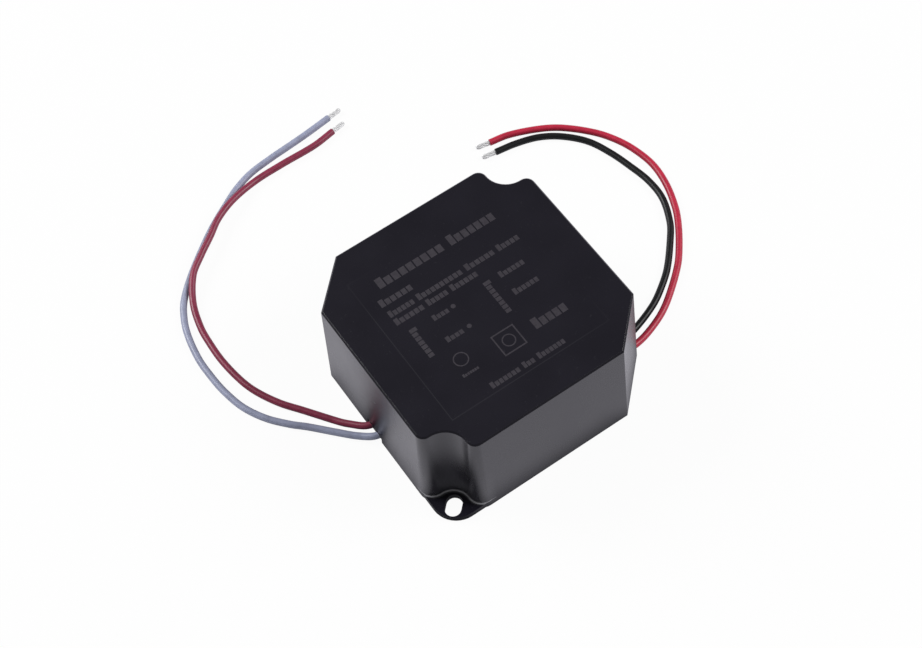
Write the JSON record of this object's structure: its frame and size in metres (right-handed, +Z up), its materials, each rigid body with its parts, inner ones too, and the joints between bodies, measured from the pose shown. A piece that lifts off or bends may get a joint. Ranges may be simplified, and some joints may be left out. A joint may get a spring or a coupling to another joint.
{
  "type": "power supply",
  "caption": "Square black potted AC to DC power supply for fixed mounting, with slotted ears at opposite corners and bare-ended input and output leads.",
  "frame": {"origin": "centre of the base on the mounting surface, midway between the two slots", "axes": "+X through the two mounting slots, towards the ear on the output side; +Y towards the chamfered corner on the input side; +Z up out of the mounting surface"},
  "size_m": [0.1166, 0.124, 0.03],
  "materials": {
    "case_plastic": "smooth black moulded plastic, satin gloss",
    "potting_compound": "black cured potting, slightly glossy",
    "board_laminate": "green solder mask",
    "solder": "bright solder",
    "bare_copper": "tinned and bare copper strands",
    "fuse_case": "dark brown moulded case",
    "blue_lacquer": "dipped blue lacquer",
    "yellow_case": "yellow moulded case",
    "ferrite": "dull sintered ferrite",
    "enamelled_wire": "enamelled copper wire",
    "chip_plastic": "matt black moulding compound",
    "can_sleeve": "dark sleeve on an aluminium can",
    "grey_ceramic": "grey lacquer",
    "red_film": "dark red dipped film capacitor",
    "bobbin_plastic": "black moulded bobbin",
    "yellow_tape": "yellow polyester tape",
    "white_chip": "white moulding compound",
    "beige_lacquer": "beige lacquer",
    "brown_insulation": "red-brown PVC",
    "blue_insulation": "pale grey-blue PVC",
    "red_insulation": "crimson PVC",
    "black_insulation": "black PVC",
    "tinned_strands": "tinned strands"
  },
  "bodies": {
    "root": {"housing": "case_plastic", "potting": "potting_compound", "circuit_board": "board_laminate", "solder_joints": "solder", "lead_ends": "bare_copper", "fuse": "fuse_case", "varistor": "blue_lacquer", "x_capacitor": "yellow_case", "choke_core": "ferrite", "choke_windings": "enamelled_wire", "bridge_rectifier": "chip_plastic", "bulk_capacitor": "can_sleeve", "snubber_resistor": "grey_ceramic", "snubber_diode": "chip_plastic", "snubber_capacitor": "red_film", "controller_chip": "chip_plastic", "transformer_core": "ferrite", "transformer_bobbin": "bobbin_plastic", "transformer_windings": "enamelled_wire", "transformer_tape": "yellow_tape", "optocoupler": "white_chip", "y_capacitor": "blue_lacquer", "output_rectifier": "chip_plastic", "output_capacitors": "can_sleeve", "output_choke_core": "ferrite", "output_choke_winding": "enamelled_wire", "shunt_regulator": "chip_plastic", "small_resistors": "beige_lacquer", "brown_lead": "brown_insulation", "brown_tip": "tinned_strands", "blue_lead": "blue_insulation", "blue_tip": "tinned_strands", "red_lead": "red_insulation", "red_tip": "tinned_strands", "black_lead": "black_insulation", "black_tip": "tinned_strands"}
  },
  "joints": []
}
